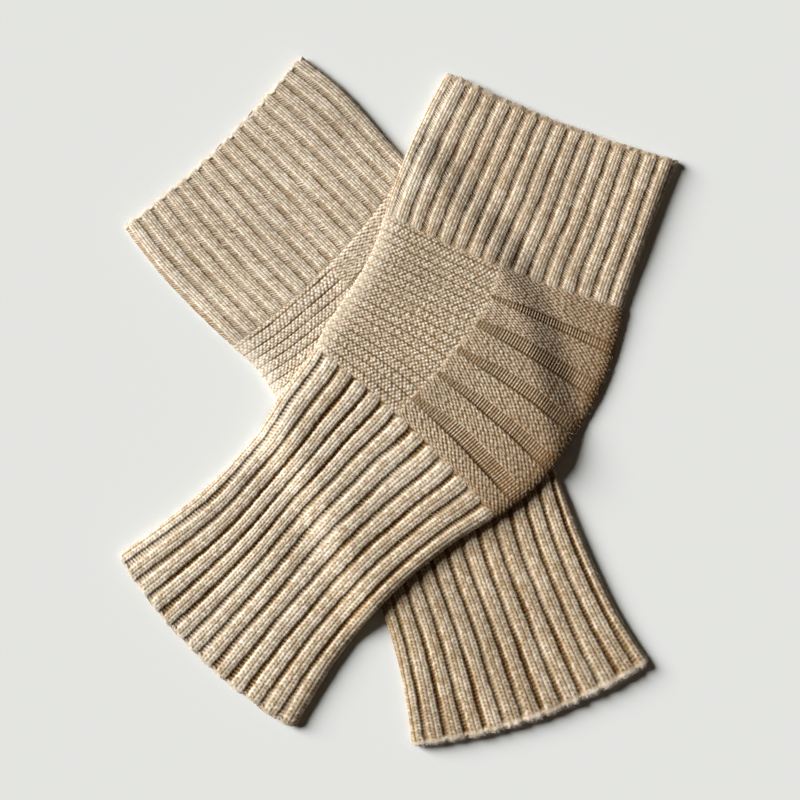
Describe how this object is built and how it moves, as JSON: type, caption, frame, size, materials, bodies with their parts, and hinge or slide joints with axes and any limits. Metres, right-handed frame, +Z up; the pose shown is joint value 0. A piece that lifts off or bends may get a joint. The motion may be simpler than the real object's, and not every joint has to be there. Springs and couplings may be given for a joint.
{
  "type": "pair of knee warmers",
  "caption": "Pair of knitted knee warmers laid flat and crossed: fine ribbed thigh cuffs, garter knee backs, welted kneecaps and bold ribbed calves that flare at the hem.",
  "frame": {"origin": "middle of the pair's footprint, on the surface that the pair lies on", "axes": "+Z up off the surface, +Y from the calf hems towards the thigh cuffs, +X to the right as seen from above"},
  "size_m": [0.3346, 0.4133, 0.0123],
  "materials": {
    "over_thigh_rib": "oatmeal wool knit, fine 2x2 rib, matt with a soft nap",
    "over_garter": "oatmeal wool knit, garter ridges, matt with a soft nap",
    "over_welts": "oatmeal wool knit, purl welts and recessed knit bands, matt",
    "over_calf_rib": "oatmeal wool knit, bold 2x2 rib, matt with a soft nap",
    "under_thigh_rib": "oatmeal wool knit, fine 2x2 rib, matt with a soft nap",
    "under_garter": "oatmeal wool knit, garter ridges, matt with a soft nap",
    "under_welts": "oatmeal wool knit, purl welts and recessed knit bands, matt",
    "under_calf_rib": "oatmeal wool knit, bold 2x2 rib, matt with a soft nap"
  },
  "bodies": {
    "root": {"over_thigh_cuff": "over_thigh_rib", "over_knee_panel": "over_garter", "over_kneecap": "over_welts", "over_calf_rib": "over_calf_rib", "under_thigh_cuff": "under_thigh_rib", "under_knee_panel": "under_garter", "under_kneecap": "under_welts", "under_calf_rib": "under_calf_rib"}
  },
  "joints": []
}
